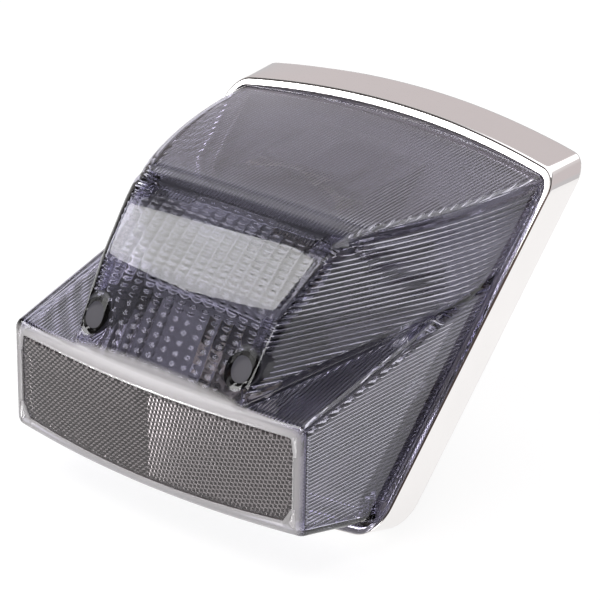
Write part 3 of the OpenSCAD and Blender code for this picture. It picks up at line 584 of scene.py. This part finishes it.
# From the front edge down to the seat 1 mm deep, out over it, and on to the inside
OPENING_STEPS = ((0.35, 0.0), (0.0, 0.25), (0.0, 1.0), (1.2, 1.0), (1.2, 2.8))
border = outside[-1]
opening = np.stack([panel_outline(border, grow, depth) for grow, depth in OPENING_STEPS])
ring = both_halves(np.concatenate([outside, opening, inside]))
inner_from = len(outside) + len(opening) - 1
lens_faces = grid_faces(*ring.shape[:2], wrap_rows=True, wrap_columns=True)
flat = np.repeat(np.arange(ring.shape[0]) >= inner_from, ring.shape[1])
pillowed = np.zeros(ring.shape[0], bool)
pillowed[inner_from + 2:inner_from + 1 + len(window_rows)] = True
top_columns = np.flatnonzero(kind == TOP)
middle = np.zeros(ring.shape[1], bool)
middle[top_columns[0]:ring.shape[1] - top_columns[0]] = True
flat &= ~(pillowed[:, None] & middle[None]).ravel()
lens = add_piece("lens_skin", ring, lens_faces, smoked_clear, smooth=~flat, replaces="lens")

# %% [markdown]
# ## Screw wells
# A long screw holds the lens on each side. Its well is a clear tube that hangs from the window back to a floor
# with a hole in it, and the black sleeve of the tray stands round it. A lathe would turn such a tube, so its
# mesh is a profile carried round an axis. One Boolean joins the tubes to the lens and a second one bores them.

# %% Turned shapes
WELL_BACK, WELL_FLOOR = 46.5, 2.0
TUBE_R, BORE_R, SCREW_HOLE_R = 4.1, 3.7, 2.2
TO_WINDOW, LEANS_FROM = 99, 90  # rows this far forward end on the leaning window


def turned(profile, x, z, lean_from=None, depth=0.8, steps=40):
    """Lathe along the draw; profile rows are (forwards, radius). Rows at lean_from or more end in the window.

    Each row becomes the circle (x + radius * cos, z + radius * sin) at y = -forwards.
    """
    turn = np.linspace(0, 2 * math.pi, steps, endpoint=False)
    forward, radius = np.array(profile, float).T
    px = x + radius[:, None] * np.cos(turn)
    pz = z + radius[:, None] * np.sin(turn)
    py = -np.broadcast_to(forward[:, None], px.shape).copy()
    if lean_from is not None:
        front = -(window_y(pz) + window_bulge(px)) + depth
        py = np.where(forward[:, None] >= lean_from, front, py)
    return np.stack([px, py, pz], -1), grid_faces(*px.shape, wrap_columns=True)


def turned_pair(name, profile, material, lean_from=None, depth=0.8):
    """The same turned shape at both screws, at plus and minus their distance from the middle, as one closed mesh."""
    meshes = [turned(profile, side * SCREW_X, SCREW_Z, lean_from, depth) for side in (-1, 1)]
    count = meshes[0][0].shape[0] * meshes[0][0].shape[1]
    points = np.concatenate([p.reshape(-1, 3) for p, _ in meshes])
    faces = np.concatenate([meshes[0][1], meshes[1][1] + count])
    return add_piece(name, points, faces, material, weld=0.001)


def combine(piece, other, operation):
    """A Boolean of two closed meshes, applied at once; the other object is used up."""
    modifier = piece.modifiers.new("combine", "BOOLEAN")
    modifier.operation = operation
    modifier.solver = "MANIFOLD"
    modifier.object = other
    result = bpy.data.meshes.new_from_object(piece.evaluated_get(bpy.context.evaluated_depsgraph_get()))
    piece.modifiers.clear()
    piece.data = result
    bpy.data.objects.remove(other)
    work = bmesh.new()
    work.from_mesh(result)
    open_edges = sum(not e.is_manifold for e in work.edges)
    work.free()
    triangles = sum(len(p.vertices) - 2 for p in result.polygons)
    print(f"{piece.name} {operation.lower()}: {triangles} triangles, {open_edges} open edges")


# %% Tubes joined to the lens, then bored
tube = [(WELL_BACK, 0), (WELL_BACK, 3.8), (WELL_BACK + 0.3, TUBE_R), (60, TUBE_R), (TO_WINDOW, TUBE_R),
        (TO_WINDOW, 3.5), (TO_WINDOW, 2), (TO_WINDOW, 0)]
combine(lens, turned_pair("tubes", tube, smoked_clear, lean_from=LEANS_FROM), "UNION")
floor_at = WELL_BACK + WELL_FLOOR
bore = [(WELL_BACK - 1, 0), (WELL_BACK - 1, SCREW_HOLE_R), (floor_at, SCREW_HOLE_R), (floor_at, BORE_R),
        (95, BORE_R), (95, 0)]
combine(lens, turned_pair("bores", bore, smoked_clear), "DIFFERENCE")

# %% Black sleeves round the tubes
SLEEVE_BACK, SLEEVE_R, SLEEVE_BORE_R = 43.0, 5.7, 4.25
sleeve = [(SLEEVE_BACK, SLEEVE_BORE_R), (SLEEVE_BACK, SLEEVE_R), (60, SLEEVE_R), (TO_WINDOW, SLEEVE_R),
          (TO_WINDOW, 4.9), (TO_WINDOW, SLEEVE_BORE_R), (60, SLEEVE_BORE_R), (SLEEVE_BACK, SLEEVE_BORE_R)]
sleeves = turned_pair("sleeve_tubes", sleeve, sleeve_black, lean_from=LEANS_FROM, depth=2.75)
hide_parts("screw_sleeves")

# %% [markdown]
# ## The reflex panel
# A reflector of this kind is moulded against a bundle of steel pins whose ends are ground to cube corners.
# A bump texture could draw them, but only real faces bend the light. Three levels of a triangular lattice give
# such corners: the point (i, j) has the level (i - j) modulo 3. With a step of 0.71 of the lattice's spacing from
# level to level the three faces of a corner would stand square to each other. Here the step is 0.45, because
# flatter corners show their pattern to a camera in soft light. The two halves have the lattice turned
# differently, so the light comes back from two ranges of directions.

# %% Cube corners over one half
PANEL_FRONT, PANEL_BACK, LATTICE, LEVEL_STEP = 0.3, 2.9, 0.84, 0.45
PANEL_MIDDLE, FIELD_LOW, FIELD_HIGH = -18, -36.5, -1.5


def cube_corners(name, x_range, turn, material):
    """A closed slab whose back is a field of cube corners; the lattice is turned by an angle.

    Lattice point (i, j) lies at (i + j / 2, j * root of 3/4) spacings, and (i - j) modulo 3 steps back.
    """
    rows = np.arange(-80, 81)
    i, j = np.meshgrid(rows, rows, indexing="ij")
    u = (i + 0.5 * j) * LATTICE
    v = j * LATTICE * math.sqrt(0.75)
    x = u * math.cos(turn) - v * math.sin(turn) + sum(x_range) / 2
    z = u * math.sin(turn) + v * math.cos(turn) + PANEL_MIDDLE
    level = ((i - j) % 3) * LATTICE * LEVEL_STEP
    inside = (x > x_range[0] - 2) & (x < x_range[1] + 2) & (z > FIELD_LOW) & (z < FIELD_HIGH)
    keep = inside[:-1, :-1] & inside[1:, :-1] & inside[:-1, 1:] & inside[1:, 1:]
    index = np.arange(i.size).reshape(i.shape)
    a, b, c, d = (corner[keep] for corner in (index[:-1, :-1], index[1:, :-1], index[:-1, 1:], index[1:, 1:]))
    back = np.concatenate([np.stack([a, b, c], -1), np.stack([b, d, c], -1)])
    used, back = np.unique(back, return_inverse=True)
    back, n = back.reshape(-1, 3), len(used)
    px, pz = x.ravel()[used], z.ravel()[used]
    rear = np.stack([px, front_y(px) + PANEL_BACK - 1.3 + level.ravel()[used], pz], -1)
    front = np.stack([px, front_y(px) + 1.0, pz], -1)
    # An edge with no partner in the other direction is on the rim, and gets a wall
    start, end = back[:, [0, 1, 2]].ravel(), back[:, [1, 2, 0]].ravel()
    rim = ~np.isin(start * n + end, end * n + start)
    p, q = start[rim], end[rim]
    walls = np.concatenate([np.stack([q, p, p + n], -1), np.stack([q, p + n, q + n], -1)])
    faces = np.concatenate([back, back[:, ::-1] + n, walls])
    return add_piece(name, np.concatenate([rear, front]), faces, material, smooth=False)


def panel_block(name, limits, grow, front_depth, back_depth, material, count=300, teeth=0.0):
    """The panel's outline, cut off at two limits across, as a closed block between two depths.

    With teeth, every second sample of the upper edge and the sides is moved inwards, which makes a fine notching.
    """
    # The walk starts at the top middle, or for the right half at the bottom middle, so that what is kept is in one run
    frame_path = np.array([(0, 6), (-60, 6), (-60, -42), (60, -42), (60, 6), (0, 6)], float)
    walked = np.append(0, np.cumsum(np.hypot(*np.diff(frame_path, axis=0).T)))
    at = np.linspace(0, walked[-1], count, endpoint=False) + (walked[-1] / 2 if sum(limits) > 1 else 0)
    x, z = (np.interp(at % walked[-1], walked, column) for column in frame_path.T)
    inward = teeth * (np.arange(count) % 2) * (z > -30)
    path = np.stack([x, 0 * x, z], -1)
    outline, inset = (panel_outline(path, grow - less, 0)[:, [0, 2]] for less in (inward, 1.0))
    kept = (outline[:, 0] > limits[0]) & (outline[:, 0] < limits[1])
    outline, inset = outline[kept], inset[kept]
    centre = inset.mean(0)
    flat = np.concatenate([outline[None], centre + (inset[None] - centre) * np.linspace(1, 0, 14)[:, None, None]])
    layers = [np.stack([flat[..., 0], front_y(flat[..., 0]) + depth, flat[..., 1]], -1)
              for depth in (front_depth, back_depth)]
    points = np.concatenate([layers[0][::-1], layers[1]])
    return add_piece(name, points, grid_faces(*points.shape[:2], wrap_columns=True), material, weld=0.001)


# %% Panel from plate, flange and two fields
whole = (-60.0, 60.0)  # no cut across
panel = panel_block("reflex_panel_optics", whole, -0.1, PANEL_FRONT, PANEL_BACK - 1.4, panel_clear, 560, 0.5)
flange = panel_block("flange", whole, 1.1, 1.1, PANEL_BACK - 0.9, panel_clear)
combine(flange, panel_block("opening", whole, -0.7, 0.5, 3.5, panel_clear), "DIFFERENCE")
combine(panel, flange, "UNION")
FIELDS = (("field_left", (-53.0, 0.6), 15), ("field_right", (-0.6, 53.0), -15))
for name, limits, degrees in FIELDS:
    field = cube_corners(name, limits, math.radians(degrees), panel_clear)
    combine(field, panel_block("limit", limits, -0.4, 1.2, 4.0, panel_clear), "INTERSECT")
    combine(panel, field, "UNION")
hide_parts("reflex_panel")

# %% [markdown]
# ## The bright rim
# The rim is a plated frame whose outline is made of four corner arcs, two shallow arches and straight sides.
# Its cross-section (skirt, small round, flat front edge, inner wall and flange) is carried round that outline,
# and every point lies as far forward of the sloping seat as its place in the section says. A curve with a bevel
# object would turn the section square to the outline, but a mould opens along one line, and so does this sweep.

# %% Outline and section of the rim
RIM_HALF, SKIRT = 62.7, 14.7
UPPER, LOWER = (6.5, 390.0, 47.8), (8.0, 640.0, 48.0)  # corner radius, arch radius, height at the middle
FOOT_DROP, FOOT_OUT, FOOT_TALL = 2.4, 0.8, 13.8  # the skirt widens by this much towards the seat


def half_loop(inset, corner, arch, high, drop):
    """Corner arc, arch, corner arc; every point of the outline moved inwards by inset, seen along the draw."""
    r = np.maximum(corner - inset, 1.2)
    cx = RIM_HALF - inset - r
    off = np.sqrt((arch - inset - r) ** 2 - cx ** 2)
    cz = high + drop - arch + off
    meet = np.arctan2(off, cx)
    t = np.linspace(0, 1, 13)[:, None] * meet
    corner_arc = np.stack([cx + r * np.cos(t), cz + r * np.sin(t)], -1)
    b = meet + (math.pi - 2 * meet) * np.linspace(0, 1, 61)[1:-1, None]
    arch_arc = np.stack([(arch - inset) * np.cos(b), high + drop - arch + (arch - inset) * np.sin(b)], -1)
    return np.concatenate([corner_arc, arch_arc, corner_arc[::-1] * np.array([-1.0, 1])])


def rim_loop(inset, drop, side_out):
    """The whole outline for a column of insets: rows run round it, columns across the section."""
    top = half_loop(inset, *UPPER, 0.0)
    low = -half_loop(inset, *LOWER, drop)
    loop = np.concatenate([top, low])
    x = loop[..., 0] + np.sign(loop[..., 0]) * side_out * np.clip(np.abs(loop[..., 0]) / 50, 0, 1) ** 8
    sides = []
    for start, end in ((-1, 0), (len(top) - 1, len(top))):
        t = np.linspace(0, 1, 26)[1:-1, None]
        z = loop[start, :, 1] + (loop[end, :, 1] - loop[start, :, 1]) * t
        sides.append(np.stack([x[start] + (x[end] - x[start]) * t, z], -1))
    loop = np.stack([x, loop[..., 1]], -1)
    return np.concatenate([loop[:len(top)], sides[1], loop[len(top):], sides[0]])


def round_over(inset, s, r, start, end, steps=5):
    """Section points on an arc round (inset, s), angles in degrees from the inward direction."""
    a = np.radians(np.linspace(start, end, steps))
    return [(inset + r * math.cos(t), s + r * math.sin(t)) for t in a]


# Rows are (inwards from the outline, forwards of the seat)
section = [(-0.4, 0.0), (-0.39, 0.4), (-0.2, 6.9), (-0.03, 13.4)]
section += round_over(0.75, 13.95, 0.75, 170, 100, 6)
section += [(1.1, 14.705), (1.5, SKIRT)] + round_over(1.7, 14.4, 0.3, 80, 0, 5)
section += [(2.0, 14.0), (2.0, 11.0), (2.0, 8.9), (2.2, 8.7), (4.0, 8.7), (6.8, 8.7), (7.0, 8.5), (7.0, 7.3),
            (6.8, 7.1), (4.0, 7.1), (2.2, 7.1), (2.0, 6.9), (1.8, 3.5), (1.6, 0.0), (1.2, 0.0), (0.0, 0.0)]
inset, s = np.array(section).T
down = np.clip(1 - s / FOOT_TALL, 0, 1)
loop = rim_loop(inset, FOOT_DROP * down, FOOT_OUT * down)
points = np.stack([loop[..., 0], loop[..., 1] - s, loop[..., 1]], -1)
rim = add_piece("rim_sweep", points, grid_faces(*points.shape[:2], wrap_rows=True, wrap_columns=True),
                bright_plating, replaces="bright_rim")

# %% [markdown]
# ## Silvering in the bowl
# The bowl is moulded plastic and only its inside is silvered. The silver layer is a thin closed lining. It
# opens from the round hole at the bulb to a mouth with four rounded corners: both outlines are walked together,
# pairing the points whose outward direction is the same, because those pairs lie on the straight lines of
# the hull between the two outlines.

# %% Lining of the bowl
MOUTH_CORNERS = ((30, 31.4, 5), (-30, 31.4, 5), (-19, 20.5, 7), (19, 20.5, 7))  # x, z, radius
HOLE, HOLE_R = np.array([0, 22.0]), 8.9
BOWL_BACK, BOWL_DEEP, MOUTH_BEHIND_WINDOW = -13.0, 24.0, 13.51


def mouth_walk(r_less, steps=88):
    """Pairs of points (hole, mouth) with equal outward direction, in the plane across the draw."""
    corners = np.array(MOUTH_CORNERS, float)
    walk, last = [], None
    for a in np.linspace(0, 2 * math.pi, steps, endpoint=False):
        n = np.array([math.cos(a), math.sin(a)])
        best = int(np.argmax(corners[:, :2] @ n + corners[:, 2]))
        outer = corners[best, :2] + (corners[best, 2] - r_less) * n
        hole = HOLE + (HOLE_R - r_less) * n
        if last is not None and best != last:
            before = walk[-1][1]
            walk += [(hole, before + (outer - before) * t) for t in (0.12, 0.3, 0.5, 0.7, 0.88)]
        walk.append((hole, outer))
        last = best
    return np.array(walk)


def bowl_sheet(r_less, front_in):
    """Grid from the hole at the back over the hull to the mouth, then forwards to the plane behind the window.

    On the hull a point is hole + (mouth - hole) * t, and it lies BOWL_DEEP * t forward of the bowl's back.
    """
    walk = mouth_walk(r_less)
    hole, mouth = walk[:, 0], walk[:, 1]
    t = np.linspace(0, 1, 15)[:, None, None]
    dish = hole + (mouth - hole) * t
    dish = np.concatenate([dish, np.full(dish.shape[:2] + (1,), 0.0)], -1)
    dish[..., 2] = BOWL_BACK - BOWL_DEEP * t[..., 0]
    window_at, z0, slope = WINDOW_LOW
    end = -window_at + slope * (mouth[:, 1] - z0) + MOUTH_BEHIND_WINDOW + front_in
    start = BOWL_BACK - BOWL_DEEP
    k = np.linspace(0, 1, 10)[1:, None]
    tube = np.concatenate([np.broadcast_to(mouth, (9,) + mouth.shape), (start + (end - start) * k)[..., None]], -1)
    sheet = np.concatenate([dish, tube])
    return sheet[..., [0, 2, 1]]


near, far = bowl_sheet(0.22, 0.1), bowl_sheet(0.04, 0.0)  # the lining's inner and outer face
points = np.concatenate([near, far[::-1]])
bowl = add_piece("bowl_silver", points, grid_faces(*points.shape[:2], wrap_rows=True, wrap_columns=True), silvering)

# %% [markdown]
# ## Stage and light
# The photograph has a white ground and soft light from all round, as in a light tent. The tent could be built
# from glowing planes, but they would stand in the way of other views. So two square lamps model the shapes, and
# the world is the tent: its colour depends on the direction alone. Clear and plated surfaces show pale and dark
# bands of it, while the camera, also through clear walls, sees plain white.

# %% Floor
PAPER, GLOW, REACH = 0.20, 0.88, 6000.0


def stage_material():
    """White paper that also glows a little, so the shadow under the lamp stays as faint as in a light tent."""
    material = bpy.data.materials.new("white_ground")
    material.use_nodes = True
    shader = material.node_tree.nodes["Principled BSDF"]
    shader.inputs["Base Color"].default_value = (PAPER, PAPER, PAPER, 1)
    shader.inputs["Roughness"].default_value = 0.9
    shader.inputs["Specular IOR Level"].default_value = 0.0
    shader.inputs["Emission Color"].default_value = (1, 1, 1, 1)
    shader.inputs["Emission Strength"].default_value = GLOW
    return material


floor_z = cad_box[0][2] / MM - 0.2  # just under the lowest point of the lamp
corners = [(x * REACH * MM, y * REACH * MM, floor_z * MM) for x, y in ((-1, -1), (1, -1), (1, 1), (-1, 1))]
floor_mesh = bpy.data.meshes.new("ground")
floor_mesh.from_pydata(corners, [], [(0, 1, 2, 3)])
floor_mesh.materials.append(stage_material())
floor = bpy.data.objects.new("ground", floor_mesh)
bpy.context.scene.collection.objects.link(floor)

# %% Lamps and sky
def softbox(name, place, target, size, power):
    """A square lamp that looks at target; places in millimetres."""
    data = bpy.data.lights.new(name, "AREA")
    data.shape = "SQUARE"
    data.size = size * MM
    data.energy = power
    lamp = bpy.data.objects.new(name, data)
    away = np.array(place, float) - np.array(target, float)
    back = away / np.linalg.norm(away)
    side = np.cross([0, 0, 1.0], back)
    side /= np.linalg.norm(side)
    turn = Matrix((side, np.cross(back, side), back)).transposed().to_4x4()
    lamp.matrix_world = Matrix.Translation(np.array(place) * MM) @ turn
    bpy.context.scene.collection.objects.link(lamp)
    return lamp


softbox("front_softbox", place=(-441, -300, 620), target=(0, -60, 20), size=420, power=3.4)
softbox("side_softbox", place=(450, -760, 260), target=(0, -20, 0), size=300, power=1.5)
print("two softboxes")

# %% The tent as the camera and as glossy surfaces see it
TENT_STRENGTH = 2.5
world = bpy.data.worlds.new("tent")
bpy.context.scene.world = world
world.use_nodes = True
nodes, links = world.node_tree.nodes, world.node_tree.links
tent = nodes["Background"]
tent.inputs["Strength"].default_value = TENT_STRENGTH
seen = nodes.new("ShaderNodeBackground")
seen.inputs["Color"].default_value = (1, 1, 1, 1)
seen.inputs["Strength"].default_value = 1.0
path = nodes.new("ShaderNodeLightPath")
choose = nodes.new("ShaderNodeMixShader")
both = nodes.new("ShaderNodeMath")
both.operation = "MAXIMUM"
links.new(path.outputs["Is Camera Ray"], both.inputs[0])
links.new(path.outputs["Is Transmission Ray"], both.inputs[1])
links.new(both.outputs["Value"], choose.inputs["Fac"])
links.new(tent.outputs["Background"], choose.inputs[1])
links.new(seen.outputs["Background"], choose.inputs[2])
links.new(choose.outputs["Shader"], nodes["World Output"].inputs["Surface"])
direction = nodes.new("ShaderNodeTexCoord")
parts = nodes.new("ShaderNodeSeparateXYZ")
links.new(direction.outputs["Generated"], parts.inputs["Vector"])


# %% Bands of the tent
def ramp(source, stops):
    """Colours along a value, straight from stop to stop; stops are (position, colour)."""
    node = nodes.new("ShaderNodeValToRGB")
    for k, (position, color) in enumerate(stops):
        stop = node.color_ramp.elements[k] if k < 2 else node.color_ramp.elements.new(position)
        stop.position, stop.color = position, (*color, 1)
    links.new(source, node.inputs["Fac"])
    return node.outputs["Color"]


def toward(way):
    """Cosine of the angle between a direction and a way of about unit length: 1 straight towards it."""
    node = nodes.new("ShaderNodeVectorMath")
    node.operation = "DOT_PRODUCT"
    node.inputs[1].default_value = way
    links.new(direction.outputs["Generated"], node.inputs[0])
    return node.outputs["Value"]


def combined(a, b, kind):
    """Two colours joined by a blend kind such as MULTIPLY or ADD."""
    node = nodes.new("ShaderNodeMix")
    node.data_type, node.blend_type = "RGBA", kind
    node.inputs["Factor"].default_value = 1.0
    links.new(a, node.inputs["A"])
    links.new(b, node.inputs["B"])
    return node.outputs["Result"]


# Angle from the back's horizon up over the ceiling to the front's, as a share of half a turn
tilt = nodes.new("ShaderNodeMath")
tilt.operation = "ARCTAN2"
links.new(parts.outputs["Z"], tilt.inputs[0])
links.new(parts.outputs["Y"], tilt.inputs[1])
share = nodes.new("ShaderNodeMath")
share.operation = "DIVIDE"
share.inputs[1].default_value = math.pi
links.new(tilt.outputs["Value"], share.inputs[0])

# %% Colours of the tent
PINK, DARK, PALE = (0.264, 0.242, 0.244), (0.04, 0.036, 0.036), (0.42, 0.415, 0.41)
HORIZON, EDGE, FRONT_WALL = (0.25, 0.245, 0.25), (0.33, 0.32, 0.32), (0.38, 0.375, 0.37)
BLACK, WHITE, BROWN, CARD = (0, 0, 0), (1, 1, 1), (0.13, 0.07, 0.05), (0.95, 0.94, 0.97)
WALL_BANDS = [
    (0.0, HORIZON), (0.08, HORIZON), (0.12, PINK), (0.23, PINK), (0.25, EDGE), (0.275, DARK),  # behind the lamp
    (0.30, PALE), (0.325, PALE), (0.34, DARK), (0.54, DARK), (0.565, PALE), (0.655, PALE),  # ceiling
    (0.668, DARK), (0.93, DARK), (1.0, FRONT_WALL),  # in front
]
walls = ramp(share.outputs["Value"], WALL_BANDS)
# A brown gap to the right of the lamp, and a bright card nearly overhead
gap = ramp(toward((0.8, -0.2, 0.56)), [(0.76, WHITE), (0.86, BROWN)])
card = ramp(toward((-0.06, 0.41, 0.91)), [(0.90, BLACK), (0.94, CARD)])
links.new(combined(combined(walls, gap, "MULTIPLY"), card, "ADD"), tent.inputs["Color"])
print("tent with", len(WALL_BANDS), "stops")

bpy.context.scene.view_settings.view_transform = "Standard"
